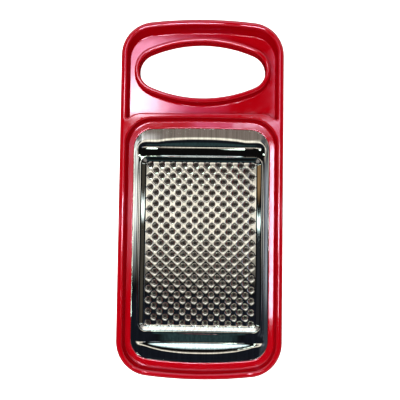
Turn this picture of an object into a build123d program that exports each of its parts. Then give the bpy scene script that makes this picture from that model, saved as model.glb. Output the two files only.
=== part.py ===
from build123d import *
from math import hypot, sqrt
import os

# Flat hand-held kitchen grater, lying on its teeth with the open back of the frame up.
# Millimetres. +X across the grater, +Y from the plate towards the finger hole, +Z out of the back.
# Origin: centre of the bounding box in X and Y, tips of the teeth in Z.

# ---- frame: outline and wall ----
length = 241.5
width = 110.0
outer_corner_radius = 22.5
end_bow_radius = 300.0           # the two short ends bow outwards a little
rib_bow_radius = 900.0           # so does the cross rib, much less
wall_height = 12.5               # front face of the frame to the rim
skin = 3.0                       # thickness of the front skin
wall_lean = 1.0                  # an inner wall leans outwards this much from foot to rim
rim_outer_round = 2.5
rim_inner_round = 1.15
front_edge_round = 2.5
foot_round = 0.6
lip_round = 0.5

# ---- frame: pocket and window round the grating plate ----
pocket_foot_x = 50.0
pocket_foot_low_y = -116.0
pocket_foot_high_y = 52.4
pocket_corner_radius = 17.0
window_x = 46.3
window_low_y = -111.2
window_high_y = 47.4
window_corner_radius = 13.3

# ---- frame: panel round the finger hole ----
panel_foot_x = 50.0
panel_foot_high_y = 113.6
panel_corner_radius = 17.0
end_wall_lean = 3.2              # the end wall of the handle leans out more than the others
rib_edge_y = 56.2                # edge of the cross rib on the handle side
rib_lean = 0.5
rib_shoulder_x = 40.0            # the rib's straight edge ends here and turns down to the side wall
rib_shoulder_radius = 15.0
panel_point_round = 0.8

# ---- frame: finger hole ----
hole_y = 85.9
hole_half_length = 42.8
hole_half_height = 19.2
hole_end_radius = 13.0
hole_wall = 3.0
hole_wall_lean = 0.5
hole_rim_round = 1.4
hole_front_round = 1.5

# ---- frame: ejector-pin marks, shallow round recesses in the floor ----
mark_depth = 0.15
panel_mark_radius = 2.4
panel_marks = [(42.0, 105.2), (40.6, 64.3)]
ledge_mark_radius = 1.4
ledge_marks = [(0.0, 49.9), (24.0, 49.8), (48.1, -13.9), (48.1, -53.4), (35.5, -112.9)]

# ---- grating plate: sheet and pressed field ----
sheet = 0.5
front_lip = 1.2                  # plastic under the sheet's edge, on the front side
sheet_hold = 2.0                 # how far the sheet's edge runs into the plastic
field_y = -31.2
field_foot_x = 38.1
field_foot_half_y = 56.3
field_corner_radius = 2.0
field_wall_run = 3.0
field_depth = 2.2                # how far the field is pressed towards the front
field_wall_sheet = 0.4           # the pressing thins the field's wall, measured level across it
press_round = 1.0

# ---- grating plate: stiffening beads, troughs with round ends ----
bead_section_radius = 8.6
bead_depth = 2.2
beads = [(34.9, 41.3), (-98.2, 39.8)]    # each bead's Y and half length

# ---- grating plate: teeth, crowns burst through the sheet towards the front ----
tooth_columns = 10
tooth_rows = 15                  # between each two full rows lies one of a tooth less
pitch_x = 7.78
pitch_y = 7.70
crown_height = 1.2
crown_mouth_radius = 1.9
crown_root_radius = 2.25
crown_tip_radius = 1.0
crown_hole_radius = 0.6

# ---- levels ----
field_low_z = crown_height
field_top_z = field_low_z + sheet
sheet_low_z = field_low_z + field_depth
sheet_top_z = sheet_low_z + sheet
front_z = sheet_low_z - front_lip
floor_z = front_z + skin
rim_z = front_z + wall_height
near = 0.01


def bowed_end(half_x, end_y, corner_radius, bow_radius, side):
    """Two corner arcs and the bowed arc between them; returns the Y where the straight sides meet."""
    corner_x = half_x - corner_radius
    reach = bow_radius - corner_radius
    corner_y = end_y - side * (bow_radius - sqrt(reach**2 - corner_x**2))
    blend_x = corner_x * bow_radius / reach
    blend_y = corner_y + side * corner_radius * sqrt(1 - (corner_x / reach) ** 2)
    diagonal = corner_radius * sqrt(0.5)
    ThreePointArc((-blend_x, blend_y), (0, end_y), (blend_x, blend_y))
    for hand in (-1, 1):
        ThreePointArc(
            (hand * blend_x, blend_y),
            (hand * (corner_x + diagonal), corner_y + side * diagonal),
            (hand * half_x, corner_y),
        )
    return corner_y


def plate_outline(half_x, low_y, high_y, corner_radius, z, high_bow=rib_bow_radius):
    """Rounded rectangle with bowed ends, used for everything that goes round the plate."""
    with BuildSketch(Plane.XY.offset(z)) as sketch:
        with BuildLine():
            high = bowed_end(half_x, high_y, corner_radius, high_bow, 1)
            low = bowed_end(half_x, low_y, corner_radius, end_bow_radius, -1)
            for hand in (-1, 1):
                Line((hand * half_x, low), (hand * half_x, high))
        make_face()
    return sketch.sketch.face()


def panel_outline(half_x, high_y, corner_radius, edge_y, z):
    """Handle panel: bowed top with round corners, and a lower edge along the cross rib that turns
    down to a point at each side wall."""
    run = half_x - rib_shoulder_x
    drop = rib_shoulder_radius - sqrt(rib_shoulder_radius**2 - run**2)
    half_drop = rib_shoulder_radius - sqrt(rib_shoulder_radius**2 - (run / 2) ** 2)
    with BuildSketch(Plane.XY.offset(z)) as sketch:
        with BuildLine():
            high = bowed_end(half_x, high_y, corner_radius, end_bow_radius, 1)
            Line((-rib_shoulder_x, edge_y), (rib_shoulder_x, edge_y))
            for hand in (-1, 1):
                Line((hand * half_x, edge_y - drop), (hand * half_x, high))
                ThreePointArc(
                    (hand * rib_shoulder_x, edge_y),
                    (hand * (rib_shoulder_x + run / 2), edge_y - half_drop),
                    (hand * half_x, edge_y - drop),
                )
        make_face()
        fillet(sketch.vertices().group_by(Axis.Y)[0], panel_point_round)
    return sketch.sketch.face()


def hole_outline(grow, z):
    """Finger hole's oval moved outwards by grow: two long arcs and two tighter end arcs."""
    end_x = hole_half_length - hole_end_radius
    end_sum = end_x**2 + hole_half_height**2 - hole_end_radius**2
    long_radius = end_sum / (2 * (hole_half_height - hole_end_radius))
    rise = long_radius - hole_half_height
    blend_x = end_x * (long_radius + grow) / hypot(end_x, rise)
    blend_y = rise * (hole_end_radius + grow) / hypot(end_x, rise)
    with BuildSketch(Plane.XY.offset(z)) as sketch:
        with BuildLine():
            for side in (-1, 1):
                ThreePointArc(
                    (-blend_x, hole_y + side * blend_y),
                    (0, hole_y + side * (hole_half_height + grow)),
                    (blend_x, hole_y + side * blend_y),
                )
                ThreePointArc(
                    (side * blend_x, hole_y - blend_y),
                    (side * (hole_half_length + grow), hole_y),
                    (side * blend_x, hole_y + blend_y),
                )
        make_face()
    return sketch.sketch.face()


def top_faces(solid, z):
    return [face for face in solid.faces() if abs(face.center().Z - z) < near and face.is_planar]


def loop_at(solid, z, point):
    """Edges of the one loop in the plane z that passes nearest to a point of that plane."""
    loops = [wire for face in top_faces(solid, z) for wire in face.wires()]
    spot = Vertex(point[0], point[1], z)
    return min(loops, key=lambda wire: wire.distance_to(spot)).edges()


def mirrored(points):
    return sorted({(hand * x, y) for x, y in points for hand in (-1, 1)})


def make_frame():
    outline = plate_outline(
        width / 2, -length / 2, length / 2, outer_corner_radius, front_z, end_bow_radius
    )
    body = extrude(outline, wall_height)
    body = fillet(body.faces().sort_by(Axis.Z)[0].edges(), front_edge_round)

    pocket_foot = plate_outline(
        pocket_foot_x, pocket_foot_low_y, pocket_foot_high_y, pocket_corner_radius, floor_z
    )
    pocket_rim = plate_outline(
        pocket_foot_x + wall_lean,
        pocket_foot_low_y - wall_lean,
        pocket_foot_high_y + wall_lean,
        pocket_corner_radius + wall_lean,
        rim_z,
    )
    plate_pocket = loft([pocket_foot, pocket_rim], ruled=True)

    panel_foot = panel_outline(
        panel_foot_x, panel_foot_high_y, panel_corner_radius, rib_edge_y + rib_lean, floor_z
    )
    panel_rim = panel_outline(
        panel_foot_x + wall_lean,
        panel_foot_high_y + end_wall_lean,
        panel_corner_radius + wall_lean,
        rib_edge_y,
        rim_z,
    )
    panel_pocket = loft([panel_foot, panel_rim], ruled=True)
    hole_post = loft(
        [hole_outline(hole_wall + hole_wall_lean, floor_z), hole_outline(hole_wall, rim_z)], ruled=True
    )
    hole = extrude(hole_outline(0, front_z), wall_height)
    window = extrude(
        plate_outline(window_x, window_low_y, window_high_y, window_corner_radius, front_z), skin
    )
    body = body - plate_pocket - (panel_pocket - hole_post) - hole - window

    body = fillet(loop_at(body, rim_z, (width / 2, 0)), rim_outer_round)
    body = fillet(loop_at(body, rim_z, (pocket_foot_x + wall_lean, 0)), rim_inner_round)
    body = fillet(loop_at(body, rim_z, (panel_foot_x + wall_lean, hole_y)), rim_inner_round)
    body = fillet(loop_at(body, rim_z, (hole_half_length + hole_wall, hole_y)), hole_rim_round)
    body = fillet(loop_at(body, rim_z, (hole_half_length, hole_y)), hole_rim_round)
    body = fillet(loop_at(body, front_z, (hole_half_length, hole_y)), hole_front_round)
    body = fillet(loop_at(body, front_z, (window_x, 0)), lip_round)
    body = fillet(loop_at(body, floor_z, (window_x, 0)), lip_round)
    body = fillet(loop_at(body, floor_z, (pocket_foot_x, 0)), foot_round)
    body = fillet(loop_at(body, floor_z, (panel_foot_x, hole_y)), foot_round)
    post_foot = hole_half_length + hole_wall + hole_wall_lean
    body = fillet(loop_at(body, floor_z, (post_foot, hole_y)), foot_round)

    panel_pins = Locations(*[(x, y, floor_z) for x, y in mirrored(panel_marks)])
    ledge_pins = Locations(*[(x, y, floor_z) for x, y in mirrored(ledge_marks)])
    body = body - [place * Cylinder(panel_mark_radius, 2 * mark_depth) for place in panel_pins]
    body = body - [place * Cylinder(ledge_mark_radius, 2 * mark_depth) for place in ledge_pins]
    return body - make_sheet()


def make_sheet():
    """Flat sheet before pressing, as far as its edge in the plastic."""
    outline = plate_outline(
        window_x + sheet_hold,
        window_low_y - sheet_hold,
        window_high_y + sheet_hold,
        window_corner_radius + sheet_hold,
        sheet_low_z,
    )
    return extrude(outline, sheet)


def field_frustum(foot_grow, foot_z, top_z):
    """Tapered block under the field's wall, its foot outline moved outwards by foot_grow."""
    faces = []
    for grow, z in ((0, foot_z), (field_wall_run, top_z)):
        half_x = field_foot_x + foot_grow + grow
        half_y = field_foot_half_y + foot_grow + grow
        with BuildSketch(Plane.XY.offset(z)) as sketch:
            with Locations((0, field_y)):
                RectangleRounded(2 * half_x, 2 * half_y, field_corner_radius + foot_grow + grow)
        faces.append(sketch.sketch.face())
    return loft(faces, ruled=True)


def bead_body(y, half_length, grow):
    """Round-ended bar whose underside presses the bead, grown by the sheet for the outer skin."""
    radius = bead_section_radius + grow
    centre_z = sheet_top_z - bead_depth + bead_section_radius
    mouth = sqrt(bead_section_radius**2 - (bead_section_radius - bead_depth) ** 2)
    straight = half_length - mouth
    bar = Pos(0, y, centre_z) * Rot(0, 90, 0) * Cylinder(radius, 2 * straight)
    ends = [Pos(hand * straight, y, centre_z) * Sphere(radius) for hand in (-1, 1)]
    return bar + ends


def tooth_places():
    places = []
    for row in range(2 * tooth_rows - 1):
        count = tooth_columns - row % 2
        y = field_y + (row - tooth_rows + 1) * pitch_y / 2
        places += [((column - (count - 1) / 2) * pitch_x, y) for column in range(count)]
    return places


def make_grating_plate():
    plate = make_sheet()
    below = Pos(0, 0, sheet_low_z - wall_height / 2) * Box(width, length, wall_height)
    plate = plate + field_frustum(field_wall_sheet, field_low_z, sheet_low_z)
    for y, half_length in beads:
        plate = plate + (bead_body(y, half_length, sheet) & below)
    plate = plate - field_frustum(0, field_top_z, sheet_top_z)
    for y, half_length in beads:
        plate = plate - bead_body(y, half_length, 0)

    field_rim = (field_foot_x + field_wall_run, field_y)
    plate = fillet(loop_at(plate, sheet_top_z, field_rim), press_round)
    plate = fillet(loop_at(plate, sheet_low_z, field_rim), press_round - sheet)
    for y, half_length in beads:
        plate = fillet(loop_at(plate, sheet_top_z, (half_length, y)), press_round)
        plate = fillet(loop_at(plate, sheet_low_z, (half_length, y)), press_round - sheet)
    plate = fillet(loop_at(plate, field_top_z, (field_foot_x, field_y)), press_round)
    plate = fillet(loop_at(plate, field_low_z, (field_foot_x, field_y)), press_round + sheet)

    crowns = []
    bursts = []
    for x, y in tooth_places():
        crown = Cone(crown_tip_radius, crown_root_radius, crown_height)
        burst = Cone(crown_hole_radius, crown_mouth_radius, crown_height + sheet)
        crowns.append(Pos(x, y, crown_height / 2) * crown)
        bursts.append(Pos(x, y, (crown_height + sheet) / 2) * burst)
    plate = plate + crowns
    return plate - bursts


frame = make_frame()
grating_plate = make_grating_plate()

os.makedirs("parts", exist_ok=True)
for name, shape in (("frame", frame), ("grating_plate", grating_plate)):
    export_step(shape, f"parts/{name}.step")
    box = shape.bounding_box()
    print(name, len(shape.solids()), round(shape.volume), box.min, box.max, shape.is_valid)
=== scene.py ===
"""Flat hand-held grater, seen into its open back: red plastic frame and pressed steel plate."""
import math
from collections import namedtuple

import bpy
import numpy as np
from mathutils import Euler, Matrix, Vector


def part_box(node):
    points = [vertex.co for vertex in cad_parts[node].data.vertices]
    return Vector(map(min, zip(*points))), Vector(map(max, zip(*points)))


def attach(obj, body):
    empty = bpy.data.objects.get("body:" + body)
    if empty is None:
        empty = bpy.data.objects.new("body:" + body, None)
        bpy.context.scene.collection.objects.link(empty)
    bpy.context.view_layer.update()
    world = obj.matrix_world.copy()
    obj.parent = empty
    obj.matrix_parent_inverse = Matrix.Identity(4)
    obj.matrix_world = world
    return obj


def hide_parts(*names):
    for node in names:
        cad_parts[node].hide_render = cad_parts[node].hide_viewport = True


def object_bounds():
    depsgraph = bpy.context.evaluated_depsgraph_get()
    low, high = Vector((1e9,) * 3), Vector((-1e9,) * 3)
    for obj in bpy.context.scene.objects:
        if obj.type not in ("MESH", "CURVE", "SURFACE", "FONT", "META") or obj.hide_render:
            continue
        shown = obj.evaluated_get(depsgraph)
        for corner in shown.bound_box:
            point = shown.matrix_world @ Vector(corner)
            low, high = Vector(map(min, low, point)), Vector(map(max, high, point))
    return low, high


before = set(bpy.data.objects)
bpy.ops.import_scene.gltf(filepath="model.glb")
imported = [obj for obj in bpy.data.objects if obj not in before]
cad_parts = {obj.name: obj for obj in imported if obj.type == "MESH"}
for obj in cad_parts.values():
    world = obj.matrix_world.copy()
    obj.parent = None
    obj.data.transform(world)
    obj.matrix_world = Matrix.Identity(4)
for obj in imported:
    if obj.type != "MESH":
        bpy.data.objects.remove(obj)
cad_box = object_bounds()

MM = 0.001

# ---- grating plate, as in the CAD model, millimetres ----
FIELD_Y = -31.2
FIELD_FOOT = (38.1, 56.3)
FIELD_CORNER = 2.0
FIELD_WALL_RUN = 3.0
FIELD_DEPTH = 2.2
SHEET = 0.5
PRESS_ROUND = 0.35                   # blend along the foot and the top of the field's wall
DISH = -0.018                        # slope of the side margins, towards the plastic
BEND = (45.5, 0.6, 0.010)            # half width at the border's shallow bend, its run, its depth
COLUMNS = 10
ROWS = 15
PITCH = (7.78, 7.70)
WINDOW = (46.3, -111.2, 47.4, 13.3)  # half width, low Y, high Y, corner radius
SHEET_HOLD = 2.0
TOP_BOW = 900.0
LOW_BOW = 300.0
STRAIGHT = 1e5                       # bow radius of an end that is straight

# ---- stiffening beads, millimetres ----
# Side is that of the steep outer wall. Crest is how far the ridge beside the field lies below the
# flat sheet, least is the least depth, and blend is the round at the lip.
Bead = namedtuple("Bead", "trough_y side half outer_run inner_run crest least blend")
UPPER_BEAD = Bead(
    trough_y=34.9, side=1, half=41.3, outer_run=4.4, inner_run=6.5,
    crest=1.1, least=1.3, blend=0.35,
)
LOWER_BEAD = Bead(
    trough_y=-98.4, side=-1, half=40.3, outer_run=6.0, inner_run=6.6,
    crest=0.5, least=0.5, blend=0.6,
)
BEAD_SLOPE = 0.52
BEAD_ROUND = 1.35                    # the outer side flattens towards its lip
BEAD_TAPER = 2.6                     # power of the taper towards the ends
BEAD_FADE = (2.2, 24)                # how far past its half length a bead ends, and how abruptly
CREST_ROOM = 1.1                     # the crest stays this far above the trough
LEAST_REACH = 0.01                   # keeps the slope's reach above zero past the ends
LOW_TROUGH_ROUND = 0.7
TOP_TROUGH_ROUNDS = (0.3, 0.25)      # between the two sides, then against the flat
TROUGH_FLAT = (0.3, 0.05)            # lift and slope of the flat along the upper trough
SHOULDER = (0.058, 0.7, 1.3)         # slope, start and width of the upper lip's shoulder

# ---- burst teeth, millimetres ----
# Radius, drop, share of the sheet's thickness, how torn the metal is and how much painted shade
# darkens it.
TOOTH_PROFILE = (
    (2.26, 0.0, 1.0, 0.0),
    (2.1, -0.07, 1.0, 0.0),
    (1.84, -0.29, 1.0, 0.0),
    (1.5, -0.59, 0.9, 0.15),
    (1.12, -1.2, 0.7, 1.0),
)
TIP_LEAN = 0.06                      # spread of the tip's sideways lean
TIP_RADIUS = (0.26, 0.06)            # between two petals, with its unevenness
TIP_DROP = (-1.62, 0.05)             # the same for the drop
PETAL = 0.5                          # a petal's middle is this much wider and higher
TIP_THICKNESS = 0.35                 # share of the sheet's thickness
TIP_TORN_AND_SHADE = 0.6                       # most that a tip counts as torn and darkened by painted shade

# ---- mesh of the plate ----
SIDE_STEPS = 5                       # steps along each side of a tooth's cell
SPOKES = 4 * SIDE_STEPS
CORNER_STEPS = 2 * SIDE_STEPS
WALL_RINGS = 8
MARGIN_RINGS = 33
WALL_CLEARANCE = 0.35                # from the top of the field's wall to the first margin ring
END_SPACING = (0.72, 0.3)            # finer steps start here along an end, with this share of them
CELL_LIMITS = ((37.4, 0.36), (56.25, 0.22))    # in X and Y: where squeezing starts, what is left

# ---- camera ----
CAMERA_PLACE = (0.0078, -0.0262, 0.460)
CAMERA_TURN = (0.0543, 0.01764, 0.01389)
LENS = 60.25

rng = np.random.default_rng(7)


# ---------------------------------------------------------------- pressed shape of the plate

def soft_min(a, b, k):
    """Minimum of two heights with a round of about k between them."""
    blend = np.clip(0.5 + 0.5 * (b - a) / k, 0, 1)
    return b + (a - b) * blend - k * blend * (1 - blend)


def soft_max(a, b, k):
    return -soft_min(-a, -b, k)


def field_distance(x, y):
    """Distance outwards from the foot of the field's wall."""
    dx = np.abs(x) - (FIELD_FOOT[0] - FIELD_CORNER)
    dy = np.abs(y - FIELD_Y) - (FIELD_FOOT[1] - FIELD_CORNER)
    outside = np.hypot(np.maximum(dx, 0), np.maximum(dy, 0))
    return outside + np.minimum(np.maximum(dx, dy), 0) - FIELD_CORNER


def bead_ends(x, half):
    """Taper of a bead's outer side, and its fade to nothing just past the ends."""
    past, power = BEAD_FADE
    taper = np.clip(1 - (np.abs(x) / half) ** BEAD_TAPER, 0, 1)
    end = np.clip(1 - (np.abs(x) / (half + past)) ** power, 0, 1)
    return taper, end


def bead_height(x, y, bead):
    """Trough with a steep outer side that is bowed, and a long shallow side towards the field."""
    out = (y - bead.trough_y) * bead.side
    taper, end = bead_ends(x, bead.half)
    depth = np.maximum(bead.outer_run * taper * BEAD_SLOPE, bead.least) * end
    crest = np.minimum(bead.crest, depth - CREST_ROOM * end)
    reach = np.maximum(depth, LEAST_REACH) / BEAD_SLOPE
    part = out / reach
    outer = -depth * np.maximum(1 - part, 0) ** BEAD_ROUND
    outer = np.where(part < 0, depth * (BEAD_ROUND * part - 1), outer)
    outer = np.where(part > 1, (out - reach) * BEAD_SLOPE, outer)
    inner = -depth - (depth - crest) * out / bead.inner_run
    inner = np.where(out < -bead.inner_run, np.maximum(inner, 0), inner)
    if bead is LOWER_BEAD:
        return soft_max(outer, inner, LOW_TROUGH_ROUND)
    flat = TROUGH_FLAT[0] * end - depth + TROUGH_FLAT[1] * out
    return soft_max(soft_max(outer, inner, TOP_TROUGH_ROUNDS[0]), flat, TOP_TROUGH_ROUNDS[1])


def shoulder_height(x, y):
    """Narrow gentle slope just outside the upper bead's lip."""
    bead = UPPER_BEAD
    taper, end = bead_ends(x, bead.half)
    lip = np.maximum(bead.outer_run * taper, bead.least / BEAD_SLOPE)
    beyond = (y - bead.trough_y) * bead.side - lip
    slope, start, width = SHOULDER
    return -slope * width * end * np.clip((start + width - beyond) / width, 0, 1)


def pressed(x, y):
    """Height of the sheet's back over its flat level, without the teeth."""
    ramp = field_distance(x, y) / FIELD_WALL_RUN * FIELD_DEPTH - FIELD_DEPTH
    flat = 0 * x
    height = soft_max(soft_min(ramp, flat, PRESS_ROUND), flat - FIELD_DEPTH, PRESS_ROUND)
    for bead in (UPPER_BEAD, LOWER_BEAD):
        height = soft_min(height, bead_height(x, y, bead), bead.blend)
    height = height + np.where(y > UPPER_BEAD.trough_y, shoulder_height(x, y), 0)
    bend_x, bend_run, bend_depth = BEND
    bend = np.clip(1 - np.abs(np.abs(x) - bend_x) / bend_run, 0, 1)
    dish = DISH * np.maximum(np.abs(x) - FIELD_FOOT[0] - FIELD_WALL_RUN, 0)
    return height + dish - bend_depth * bend * bend * (3 - 2 * bend)


# ---------------------------------------------------------------- mesh of the plate

class MeshParts:
    """Points and faces gathered one patch at a time; patches share their border points."""

    def __init__(self):
        self.points = []
        self.thickness = []
        self.torn_and_shade = []
        self.faces = []
        self.keys = {}

    def point(self, x, y, drop=0.0, thin=1.0, torn_and_shade=0.0):
        """Number of the point at a place, which is made the first time."""
        key = (round(x, 3), round(y, 3))
        if key not in self.keys:
            self.keys[key] = len(self.points)
            self.points.append((x, y, drop))
            self.thickness.append(thin)
            self.torn_and_shade.append(torn_and_shade)
        return self.keys[key]


def squeeze(value, limit, rest):
    """Keeps the outermost cells' corners off the field's wall."""
    over = max(abs(value) - limit, 0)
    return math.copysign(min(abs(value), limit) + over * rest, value)


def place(x, y):
    """Where a point of the even grid of cells lies on the field."""
    return squeeze(x, *CELL_LIMITS[0]), FIELD_Y + squeeze(y - FIELD_Y, *CELL_LIMITS[1])


def tooth_centres():
    centres = []
    for row in range(2 * ROWS - 1):
        count = COLUMNS - row % 2
        y = FIELD_Y + (row - ROWS + 1) * PITCH[1] / 2
        centres += [((column - (count - 1) / 2) * PITCH[0], y) for column in range(count)]
    return centres


def add_tooth(parts, cx, cy):
    """One burst tooth in its diamond-shaped cell: round shoulder, cone, and four torn petals."""
    corners = [(PITCH[0] / 2, 0), (0, PITCH[1] / 2), (-PITCH[0] / 2, 0), (0, -PITCH[1] / 2)]
    border = []
    for side in range(4):
        ax, ay = corners[side]
        bx, by = corners[(side + 1) % 4]
        for step in range(SIDE_STEPS):
            t = step / SIDE_STEPS
            border.append(parts.point(*place(cx + ax + (bx - ax) * t, cy + ay + (by - ay) * t)))
    turn = rng.uniform(0, 2 * math.pi)
    lean = rng.normal(0, TIP_LEAN, 2)
    angles = [2 * math.pi * spoke / SPOKES for spoke in range(SPOKES)]
    rings = [border]
    for radius, drop, thin, torn_and_shade in TOOTH_PROFILE:
        ring = []
        for angle in angles:
            x = cx + radius * math.cos(angle)
            y = cy + radius * math.sin(angle)
            ring.append(parts.point(x, y, drop, thin, torn_and_shade))
        rings.append(ring)
    ring = []
    for angle in angles:
        petal = PETAL * abs(math.cos(2 * (angle - turn)))
        radius = TIP_RADIUS[0] + petal + rng.uniform(-TIP_RADIUS[1], TIP_RADIUS[1])
        drop = TIP_DROP[0] + petal + rng.uniform(-TIP_DROP[1], TIP_DROP[1])
        x = cx + lean[0] + radius * math.cos(angle)
        y = cy + lean[1] + radius * math.sin(angle)
        ring.append(parts.point(x, y, drop, TIP_THICKNESS, rng.uniform(0.0, TIP_TORN_AND_SHADE)))
    rings.append(ring)
    for outer, inner in zip(rings, rings[1:]):
        for spoke in range(SPOKES):
            after = (spoke + 1) % SPOKES
            parts.faces.append((outer[spoke], outer[after], inner[after], inner[spoke]))


def add_triangle(parts, apex, left, right):
    """Flat triangle between two cells and the border, in rows of triangles from its apex."""
    rows = []
    for row in range(SIDE_STEPS + 1):
        t = row / SIDE_STEPS
        a = [apex[i] + (left[i] - apex[i]) * t for i in (0, 1)]
        b = [apex[i] + (right[i] - apex[i]) * t for i in (0, 1)]
        points = []
        for step in range(row + 1):
            s = step / max(row, 1)
            points.append(parts.point(*place(a[0] + (b[0] - a[0]) * s, a[1] + (b[1] - a[1]) * s)))
        rows.append(points)
    for upper, lower in zip(rows, rows[1:]):
        for step in range(len(upper)):
            parts.faces.append((upper[step], lower[step], lower[step + 1]))
            if step:
                parts.faces.append((upper[step - 1], lower[step], upper[step]))


def add_field_fills(parts):
    half = (COLUMNS * PITCH[0] / 2, ROWS * PITCH[1] / 2)
    for hand in (-1, 1):
        edge = FIELD_Y + hand * half[1]
        for gap in range(1, COLUMNS):
            x = -half[0] + gap * PITCH[0]
            reach = hand * PITCH[0] / 2
            apex = (x, edge - hand * PITCH[1] / 2)
            add_triangle(parts, apex, (x + reach, edge), (x - reach, edge))
        edge = hand * half[0]
        for gap in range(1, ROWS):
            y = FIELD_Y - half[1] + gap * PITCH[1]
            reach = hand * PITCH[1] / 2
            apex = (edge - hand * PITCH[0] / 2, y)
            add_triangle(parts, apex, (edge, y - reach), (edge, y + reach))
        for side in (-1, 1):
            x = hand * half[0]
            y = FIELD_Y + side * half[1]
            along = (x - hand * PITCH[0] / 2, y)
            down = (x, y - side * PITCH[1] / 2)
            ends = (along, down) if hand * side > 0 else (down, along)
            add_triangle(parts, (x, y), *ends)


def field_border():
    """Border of the toothed rectangle, counter-clockwise from its lower right corner."""
    half = (COLUMNS * PITCH[0] / 2, ROWS * PITCH[1] / 2)
    step = (PITCH[0] / SIDE_STEPS, PITCH[1] / SIDE_STEPS)
    sides = []
    for count, length, fine in ((COLUMNS, half[0], step[0]), (ROWS, half[1], step[1])):
        corner = [fine / 2 * i for i in range(SIDE_STEPS)]
        middle = [fine * (i + SIDE_STEPS / 2) for i in range((count - 1) * SIDE_STEPS + 1)]
        sides.append([-length + v for v in corner + middle] + [length - v for v in corner[:0:-1]])
    across, along = sides
    points = [(half[0], FIELD_Y + v) for v in along]
    points += [(-v, FIELD_Y + half[1]) for v in across]
    points += [(-half[0], FIELD_Y - v) for v in along]
    points += [(v, FIELD_Y - half[1]) for v in across]
    return [place(x, y) for x, y in points]


def spaced(count, fine_from, share):
    """Places from -1 to 1 with a share of the steps beyond fine_from at each end."""
    fine = round(count * share)
    coarse = count - 2 * fine
    low = np.linspace(-1, -fine_from, fine + 1)[:-1]
    middle = np.linspace(-fine_from, fine_from, coarse + 1)
    return np.concatenate([low, middle, np.linspace(fine_from, 1, fine + 1)[1:]])


def outline(half_x, low_y, high_y, radius, low_bow, high_bow):
    """Rounded rectangle with bowed ends; it starts in the middle of its lower right corner, and its
    points pair with those of field_border."""
    corners = []
    for side, end_y, bow in ((-1, low_y, low_bow), (1, high_y, high_bow)):
        corner_x = half_x - radius
        corner_y = end_y - side * (bow - math.sqrt((bow - radius) ** 2 - corner_x**2))
        spread = math.asin(corner_x / (bow - radius))
        corners.append((corner_x, corner_y, spread))
    quarter = np.linspace(0, 1, CORNER_STEPS + 1)
    (low_x, low_cy, low_spread), (high_x, high_cy, high_spread) = corners

    def corner_arc(x, y, first, last):
        angles = first + (last - first) * quarter
        return [(x + radius * math.cos(a), y + radius * math.sin(a)) for a in angles]

    def bowed(end_y, side, bow, spread):
        places = spaced((COLUMNS - 1) * SIDE_STEPS, *END_SPACING)[1:-1] * spread
        centre = end_y - side * bow
        arc = [(bow * math.sin(a), centre + side * bow * math.cos(a)) for a in places]
        return arc if side < 0 else arc[::-1]

    along = np.linspace(low_cy, high_cy, (ROWS - 1) * SIDE_STEPS + 1)[1:-1]
    right_low = corner_arc(low_x, low_cy, low_spread - math.pi / 2, 0)
    right_high = corner_arc(high_x, high_cy, 0, math.pi / 2 - high_spread)
    left_high = [(-x, y) for x, y in right_high[::-1]]
    left_low = [(-x, y) for x, y in right_low[::-1]]
    points = right_low[SIDE_STEPS:] + [(half_x, y) for y in along] + right_high
    points += bowed(high_y, 1, high_bow, high_spread) + left_high
    points += [(-half_x, y) for y in along[::-1]] + left_low
    points += bowed(low_y, -1, low_bow, low_spread) + right_low[:SIDE_STEPS]
    return points


def add_margin(parts):
    """Rings of faces from the toothed rectangle to the sheet's edge in the plastic."""
    inner = field_border()
    grow = FIELD_WALL_RUN + WALL_CLEARANCE
    wall_top = outline(
        FIELD_FOOT[0] + grow,
        FIELD_Y - FIELD_FOOT[1] - grow,
        FIELD_Y + FIELD_FOOT[1] + grow,
        FIELD_CORNER + grow,
        STRAIGHT,
        STRAIGHT,
    )
    half_x, low_y, high_y, radius = WINDOW
    hold = SHEET_HOLD
    edge = outline(half_x + hold, low_y - hold, high_y + hold, radius + hold, LOW_BOW, TOP_BOW)
    around = len(inner)
    rings = [[parts.point(x, y) for x, y in inner]]
    stretches = ((inner, wall_top, WALL_RINGS), (wall_top, edge, MARGIN_RINGS))
    for first, last, count in stretches:
        a = np.array(first)
        b = np.array(last)
        assert len(a) == len(b) == around
        for step in range(1, count + 1):
            ring = a + (b - a) * step / count
            rings.append([parts.point(x, y) for x, y in ring])
    for outer, inside in zip(rings[1:], rings):
        for i in range(around):
            j = (i + 1) % around
            parts.faces.append((inside[i], outer[i], outer[j], inside[j]))


def make_plate():
    parts = MeshParts()
    for cx, cy in tooth_centres():
        add_tooth(parts, cx, cy)
    add_field_fills(parts)
    add_margin(parts)
    points = np.array(parts.points)
    sheet_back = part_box("grating_plate")[1].z
    heights = pressed(points[:, 0], points[:, 1]) + points[:, 2]
    points = points * MM
    points[:, 2] = sheet_back + heights * MM
    mesh = bpy.data.meshes.new("plate")
    mesh.from_pydata(points.tolist(), [], parts.faces)
    mesh.update()
    mesh.shade_smooth()
    plate = bpy.data.objects.new("plate", mesh)
    bpy.context.scene.collection.objects.link(plate)
    mesh.attributes.new("torn_and_shade", "FLOAT", "POINT").data.foreach_set("value", parts.torn_and_shade)
    group = plate.vertex_groups.new(name="thickness")
    thickness = np.array(parts.thickness)
    for value in sorted(set(parts.thickness)):
        group.add(np.flatnonzero(thickness == value).tolist(), value, "REPLACE")
    solid = plate.modifiers.new("sheet", "SOLIDIFY")
    solid.thickness = SHEET * MM
    solid.offset = -1
    solid.vertex_group = "thickness"
    solid.thickness_vertex_group = 0
    even = plate.modifiers.new("even", "WEIGHTED_NORMAL")
    even.mode = "FACE_AREA"
    even.weight = 50
    return plate


# ---------------------------------------------------------------- node helpers

def new_tree(owner):
    owner.use_nodes = True
    owner.node_tree.nodes.clear()
    return owner.node_tree


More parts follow.
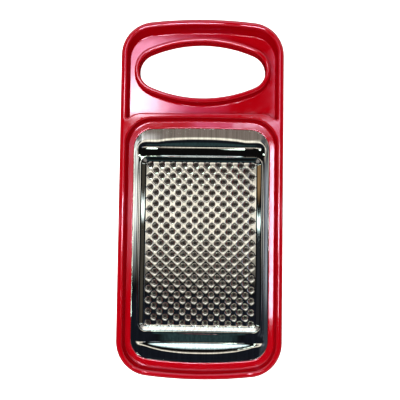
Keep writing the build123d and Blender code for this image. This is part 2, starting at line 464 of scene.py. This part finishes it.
def add(tree, kind, settings=(), **inputs):
    """New node. Inputs are sockets by name, with underscores for spaces, or by number, as i0."""
    made = tree.nodes.new(kind)
    for name, value in dict(settings).items():
        setattr(made, name, value)
    for name, value in inputs.items():
        numbered = name[1:].isdigit()
        socket = made.inputs[int(name[1:]) if numbered else name.replace("_", " ")]
        if isinstance(value, bpy.types.NodeSocket):
            tree.links.new(value, socket)
        else:
            socket.default_value = value
    return made


def maths(tree, operation, *values):
    inputs = {f"i{i}": value for i, value in enumerate(values)}
    return add(tree, "ShaderNodeMath", {"operation": operation}, **inputs).outputs[0]


def scaled(tree, vector, factor):
    made = add(tree, "ShaderNodeVectorMath", {"operation": "SCALE"}, i0=vector, Scale=factor)
    return made.outputs[0]


def summed(tree, first, second):
    return add(tree, "ShaderNodeVectorMath", {"operation": "ADD"}, i0=first, i1=second).outputs[0]


def ranged(tree, value, span, result=(0.0, 1.0), kind="LINEAR"):
    """Maps a span of values to a range, clamped at both ends."""
    made = add(
        tree,
        "ShaderNodeMapRange",
        {"interpolation_type": kind},
        Value=value,
        From_Min=span[0],
        From_Max=span[1],
        To_Min=result[0],
        To_Max=result[1],
    )
    return made.outputs["Result"]


def soft_step(tree, value, low, high):
    return ranged(tree, value, (low, high), kind="SMOOTHSTEP")


def mixed(tree, factor, first, second):
    made = add(tree, "ShaderNodeMix", {"data_type": "RGBA"}, i0=factor, i6=first, i7=second)
    return made.outputs[2]


def noise(tree, spot, scale, detail, roughness):
    made = add(
        tree, "ShaderNodeTexNoise", Vector=spot, Scale=scale, Detail=detail, Roughness=roughness
    )
    return made.outputs["Fac"]


def bumped(tree, height, strength, distance, **inputs):
    made = add(
        tree, "ShaderNodeBump", Height=height, Strength=strength, Distance=distance, **inputs
    )
    return made.outputs[0]


# ---------------------------------------------------------------- world: ceiling and windows

def soft_patch(tree, u, v, box, blur):
    """1 inside a box of the sky map, 0 outside, with soft edges."""
    u0, u1, v0, v1 = box
    edges = [
        soft_step(tree, u, u0 - blur[0], u0 + blur[0]),
        soft_step(tree, u, u1 + blur[1], u1 - blur[1]),
        soft_step(tree, v, v0 - blur[2], v0 + blur[2]),
        soft_step(tree, v, v1 + blur[3], v1 - blur[3]),
    ]
    first = maths(tree, "MULTIPLY", edges[0], edges[1])
    second = maths(tree, "MULTIPLY", edges[2], edges[3])
    return maths(tree, "MULTIPLY", first, second)


# Bright areas of the sky: box in slopes from the zenith (x low, x high, y low, y high), blur of
# each edge, colour, strength. The plate's flat parts mirror the narrow ones in a view from above,
# and its slopes and the views from the side mirror the wide ones.
SKY = (
    ((-0.135, -0.088, 0.181, 0.235), (0.008, 0.03, 0.004, 0.03), (0.64, 1.0, 0.74), 17.0),
    ((-0.135, -0.06, 0.181, 0.298), (0.008, 0.03, 0.004, 0.008), (0.8, 1.0, 0.9), 5.5),
    ((-0.14, 0.07, -0.02, 0.085), (0.012, 0.008, 0.06, 0.02), (1.0, 0.96, 0.83), 1.4),
    ((-0.20, -0.13, 0.012, 0.085), (0.02, 0.006, 0.022, 0.012), (0.98, 1.0, 1.0), 0.62),
    ((-0.20, -0.13, -0.03, 0.14), (0.02, 0.006, 0.05, 0.02), (0.9, 1.0, 1.02), 0.5),
    ((0.116, 0.20, -0.09, 0.10), (0.007, 0.03, 0.04, 0.03), (0.75, 0.85, 1.0), 0.55),
    ((0.09, 0.20, -0.2, 0.16), (0.01, 0.03, 0.04, 0.03), (0.7, 0.85, 1.0), 0.06),
    ((0.070, 0.086, 0.014, 0.030), (0.006, 0.003, 0.008, 0.008), (0.9, 0.96, 1.0), 2.0),
    ((-0.16, 0.10, 0.085, 0.13), (0.05, 0.03, 0.02, 0.01), (1.0, 0.96, 0.82), 0.55),
    ((-0.16, 0.14, 0.13, 0.17), (0.05, 0.06, 0.01, 0.002), (1.0, 0.84, 0.74), 0.25),
    ((-0.16, -0.09, 0.11, 0.152), (0.01, 0.02, 0.02, 0.004), (0.9, 0.96, 1.0), 0.8),
    ((-1.0, 1.0, -0.6, -0.09), (0.3, 0.3, 0.2, 0.02), (0.3, 0.5, 1.0), 0.013),
    ((-0.5, 0.6, -2.0, -0.8), (0.2, 0.3, 0.3, 0.2), (0.4, 0.9, 1.0), 0.055),
    ((-0.7, 0.6, 0.98, 1.6), (0.3, 0.3, 0.34, 0.3), (0.72, 0.95, 1.0), 2.3),
    ((-6.0, 6.0, 1.7, 6.5), (2.0, 2.0, 0.4, 1.0), (1.0, 0.97, 0.90), 1.7),
    ((-6.0, 6.0, -6.5, -2.9), (2.0, 2.0, 1.0, 0.3), (1.0, 0.97, 0.90), 1.1),
    ((0.9, 5.0, 0.6, 2.2), (0.3, 1.0, 0.2, 0.3), (1.0, 0.98, 0.95), 0.35),
    ((-5.0, -0.9, 0.6, 2.2), (1.0, 0.3, 0.2, 0.3), (1.0, 0.98, 0.95), 0.3),
    ((0.9, 5.0, -2.8, -0.8), (0.3, 1.0, 0.3, 0.3), (1.0, 0.98, 0.95), 0.35),
    ((-5.0, -0.9, -2.8, -0.8), (1.0, 0.3, 0.3, 0.3), (1.0, 0.98, 0.95), 0.3),
    ((1.8, 4.5, 0.07, 0.125), (0.3, 0.3, 0.03, 0.03), (0.85, 1.0, 1.0), 3.5),
    ((1.8, 4.5, -0.4, 0.45), (0.3, 0.3, 0.3, 0.1), (1.0, 0.92, 0.72), 0.06),
    ((-4.5, -1.8, 0.035, 0.075), (0.3, 0.3, 0.02, 0.02), (0.75, 1.0, 1.0), 5.0),
    ((-4.5, -1.8, -0.4, 0.05), (0.3, 0.3, 0.3, 0.05), (0.65, 0.8, 1.0), 0.03),
    ((-4.5, -1.8, 0.16, 0.36), (0.3, 0.3, 0.04, 0.02), (1.0, 0.62, 0.28), 0.35),
)
SKY_BASE = (0.005, 0.005, 0.005)
SKY_RISE = (0.0, 0.08)               # heights over which the areas fade in above the horizon
LEAST_UP = 0.001                     # keeps the slopes finite at the horizon
HORIZON = (0.70, 0.70, 0.70)         # pale band behind the far edge of the floor
HORIZON_RISE = (-0.09, -0.06)
HORIZON_FALL = (0.11, 0.05)


def make_world():
    world = bpy.data.worlds.new("studio")
    bpy.context.scene.world = world
    tree = new_tree(world)
    direction = add(tree, "ShaderNodeTexCoord").outputs["Generated"]
    axes = add(tree, "ShaderNodeSeparateXYZ", Vector=direction).outputs
    up = maths(tree, "MAXIMUM", axes["Z"], LEAST_UP)
    u = maths(tree, "DIVIDE", axes["X"], up)
    v = maths(tree, "DIVIDE", axes["Y"], up)
    above = soft_step(tree, axes["Z"], *SKY_RISE)
    total = SKY_BASE
    for box, blur, colour, strength in SKY:
        mask = maths(tree, "MULTIPLY", soft_patch(tree, u, v, box, blur), above)
        light = scaled(tree, [channel * strength for channel in colour], mask)
        total = summed(tree, light, total)
    rising = soft_step(tree, axes["Z"], *HORIZON_RISE)
    band = maths(tree, "MULTIPLY", rising, soft_step(tree, axes["Z"], *HORIZON_FALL))
    total = summed(tree, total, scaled(tree, HORIZON, band))
    background = add(tree, "ShaderNodeBackground", Color=total, Strength=1.0)
    output = add(tree, "ShaderNodeOutputWorld")
    tree.links.new(background.outputs[0], output.inputs["Surface"])


# ---------------------------------------------------------------- materials

PLASTIC_RED = (0.30, 0.0, 0.0025, 1)
PLASTIC_GLOSS = (1.0, 0.58, 0.86, 1)
STEEL = (0.80, 0.78, 0.75, 1)
# Dark brown deep in the teeth's cones: painted shade, on metal that is also rougher where torn.
TORN_STEEL_AND_PAINTED_SHADE = (0.075, 0.045, 0.02, 1)
TORN_ROUGHNESS = 0.38
GRAIN_SCALE = (1.0, 0.035, 1.0)      # a small Y draws the pattern out along the sheet
STREAK_SCALE = (1.0, 0.02, 1.0)
FLOOR_WHITE = (0.88, 0.88, 0.88, 1)
# Painted shadow: a dark floor under the plate, seen only through the holes in the teeth.
PAINTED_SHADOW_UNDER_PLATE = (0.04, 0.03, 0.03, 1)
FLOOR_DARK_Y = 0.033                 # the painted shadow's middle is this far from the origin, at -Y
FLOOR_DARK_X_EDGE = (0.040, 0.050)
FLOOR_DARK_Y_EDGE = (0.073, 0.083)
GLOW_REACH = (0.12, 0.22)            # distances between which the floor's own glow falls off
GLOW = (1.1, 0.62)


def new_material(name):
    material = bpy.data.materials.new(name)
    tree = new_tree(material)
    return material, tree, add(tree, "ShaderNodeTexCoord").outputs["Object"]


def add_surface(tree, **inputs):
    shader = add(tree, "ShaderNodeBsdfPrincipled", **inputs)
    output = add(tree, "ShaderNodeOutputMaterial")
    tree.links.new(shader.outputs[0], output.inputs["Surface"])


def red_plastic():
    """Glossy moulded plastic: waves from shrinkage, fine texture from the mould, light rubbing."""
    material, tree, spot = new_material("red_plastic")
    shrinkage = noise(tree, spot, scale=55.0, detail=2.0, roughness=0.5)
    mould = noise(tree, spot, scale=900.0, detail=4.0, roughness=0.6)
    rubbed = noise(tree, spot, scale=140.0, detail=5.0, roughness=0.65)
    waves = bumped(tree, shrinkage, strength=0.03, distance=0.001)
    texture = bumped(tree, mould, strength=0.03, distance=0.0001, Normal=waves)
    add_surface(
        tree,
        Base_Color=PLASTIC_RED,
        Roughness=ranged(tree, rubbed, span=(0.40, 0.75), result=(0.04, 0.09)),
        IOR=1.85,
        Specular_Tint=PLASTIC_GLOSS,
        Normal=texture,
    )
    return material


def bright_steel():
    """Polished sheet with fine grain and streaks along its length, smudges, and teeth of rougher
    torn metal whose cones are darkened with painted shade.
    """
    material, tree, spot = new_material("bright_steel")
    along_grain = add(tree, "ShaderNodeMapping", Vector=spot, Scale=GRAIN_SCALE).outputs[0]
    along_streaks = add(tree, "ShaderNodeMapping", Vector=spot, Scale=STREAK_SCALE).outputs[0]
    grain = noise(tree, along_grain, scale=2600.0, detail=3.0, roughness=0.6)
    streaks = noise(tree, along_streaks, scale=900.0, detail=3.0, roughness=0.7)
    smudges = noise(tree, spot, scale=70.0, detail=4.0, roughness=0.6)
    torn_and_shade = add(tree, "ShaderNodeAttribute", {"attribute_name": "torn_and_shade"}).outputs["Fac"]
    smudged = ranged(tree, smudges, span=(0.40, 0.75), result=(0.025, 0.05))
    shade = ranged(tree, streaks, span=(0.35, 0.60), result=(0.72, 1.0))
    rough = add(
        tree, "ShaderNodeMix", {"data_type": "FLOAT"}, i0=torn_and_shade, i2=smudged, i3=TORN_ROUGHNESS
    )
    # The teeth's cones go dark brown: painted shade, mixed in by the same weight that roughens the
    # torn metal.
    colour = mixed(tree, torn_and_shade, STEEL, TORN_STEEL_AND_PAINTED_SHADE)
    add_surface(
        tree,
        Base_Color=scaled(tree, colour, shade),
        Metallic=1.0,
        Roughness=rough.outputs[0],
        Normal=bumped(tree, grain, strength=0.025, distance=0.0001),
    )
    return material


def floor_white():
    """White floor with a glow of its own, so that shadows stay faint; under the plate a painted
    shadow, dark and without glow.
    """
    material, tree, spot = new_material("floor_white")
    axes = add(tree, "ShaderNodeSeparateXYZ", Vector=spot).outputs
    wide = maths(tree, "ABSOLUTE", axes["X"])
    along = maths(tree, "ABSOLUTE", maths(tree, "ADD", axes["Y"], FLOOR_DARK_Y))
    # beside is 1 away from the plate and 0 under it, where the painted shadow lies.
    beside = maths(
        tree,
        "MAXIMUM",
        soft_step(tree, wide, *FLOOR_DARK_X_EDGE),
        soft_step(tree, along, *FLOOR_DARK_Y_EDGE),
    )
    reach = add(tree, "ShaderNodeVectorMath", {"operation": "LENGTH"}, i0=spot).outputs["Value"]
    glow = ranged(tree, reach, GLOW_REACH, GLOW)
    add_surface(
        tree,
        Base_Color=mixed(tree, beside, PAINTED_SHADOW_UNDER_PLATE, FLOOR_WHITE),
        Roughness=0.9,
        Emission_Color=(1, 1, 1, 1),
        Emission_Strength=maths(tree, "MULTIPLY", beside, glow),
    )
    return material


# ---------------------------------------------------------------- stage, light, camera

FLOOR_HALF = 3.0
SOFTBOX_PLACE = (-0.14, -0.18, 1.15)
SOFTBOX_SIZE = (0.7, 0.7)
SOFTBOX_POWER = 17.5

# Small lamps high over the object that light only the plastic: box in slopes, as seen from the
# camera's mirror image under the object, colour, strength.
GLINTS = (
    ((-0.07, 0.06, -0.02, 0.06), (0.9, 1.0, 0.9), 60.0),
    ((0.0838, 0.098, -0.12, 0.138), (0.7, 1.0, 0.85), 20.0),
    ((0.03, 0.098, 0.1625, 0.1715), (0.7, 1.0, 0.9), 9.0),
    ((-0.03, 0.03, 0.1625, 0.1715), (1.0, 0.7, 0.95), 3.0),
    ((-0.135, -0.040, 0.181, 0.298), (1.0, 0.50, 0.78), 2.2),
    ((-0.135, -0.022, 0.181, 0.298), (1.0, 0.45, 0.72), 1.5),
    ((-0.135, -0.005, 0.181, 0.298), (1.0, 0.40, 0.66), 1.2),
    ((-0.135, 0.010, 0.181, 0.298), (1.0, 0.36, 0.60), 0.9),
    ((-0.135, 0.024, 0.181, 0.298), (1.0, 0.32, 0.55), 0.6),
    ((0.092, 0.104, 0.142, 0.30), (1.0, 0.80, 0.90), 3.0),
)
GLINT_HEIGHT = 2.0
UP = Vector((0, 0, 1))


def make_stage():
    mesh = bpy.data.meshes.new("floor")
    half = FLOOR_HALF
    low = cad_box[0].z
    corners = [(-half, -half, low), (half, -half, low), (half, half, low), (-half, half, low)]
    mesh.from_pydata(corners, [], [(0, 1, 2, 3)])
    floor = bpy.data.objects.new("floor", mesh)
    bpy.context.scene.collection.objects.link(floor)
    mesh.materials.append(floor_white())
    floor.visible_glossy = False


def make_lamp(name, centre, back, shape, size, power, colour=(1, 1, 1)):
    """Area lamp with its back turned to the direction given."""
    data = bpy.data.lights.new(name, "AREA")
    data.shape = shape
    data.size = size[0]
    data.size_y = size[1]
    data.energy = power
    data.color = colour
    lamp = bpy.data.objects.new(name, data)
    lamp.location = centre
    lamp.rotation_euler = back.to_track_quat("Z", "Y").to_euler()
    bpy.context.scene.collection.objects.link(lamp)
    return lamp


def make_lights():
    above = Vector(SOFTBOX_PLACE)
    softbox = make_lamp("softbox", above, above, "DISK", SOFTBOX_SIZE, SOFTBOX_POWER)
    softbox.visible_glossy = False
    plastic_only = bpy.data.collections.new("plastic_only")
    plastic_only.objects.link(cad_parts["frame"])
    eye = Vector(CAMERA_PLACE)
    reach = GLINT_HEIGHT + eye.z
    for i, (box, colour, strength) in enumerate(GLINTS):
        u0, u1, v0, v1 = box
        x = eye.x + reach * (u0 + u1) / 2
        y = eye.y + reach * (v0 + v1) / 2
        size = (reach * (u1 - u0), reach * (v1 - v0))
        power = strength * math.pi * size[0] * size[1]
        lamp = make_lamp(
            f"glint_{i}", Vector((x, y, GLINT_HEIGHT)), UP, "RECTANGLE", size, power, colour
        )
        lamp.light_linking.receiver_collection = plastic_only


def make_camera():
    data = bpy.data.cameras.new("camera")
    data.lens = LENS
    data.sensor_width = 36.0
    data.clip_start = 0.01
    camera = bpy.data.objects.new("camera", data)
    camera.location = CAMERA_PLACE
    camera.rotation_euler = Euler(CAMERA_TURN, "XYZ")
    bpy.context.scene.collection.objects.link(camera)
    bpy.context.scene.camera = camera


make_camera()
make_world()
make_lights()
make_stage()

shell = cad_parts["frame"]
shell.data.materials.clear()
shell.data.materials.append(red_plastic())

plate = make_plate()
plate.data.materials.append(bright_steel())
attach(plate, "root")
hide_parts("grating_plate")

bpy.context.scene.view_settings.view_transform = "Standard"
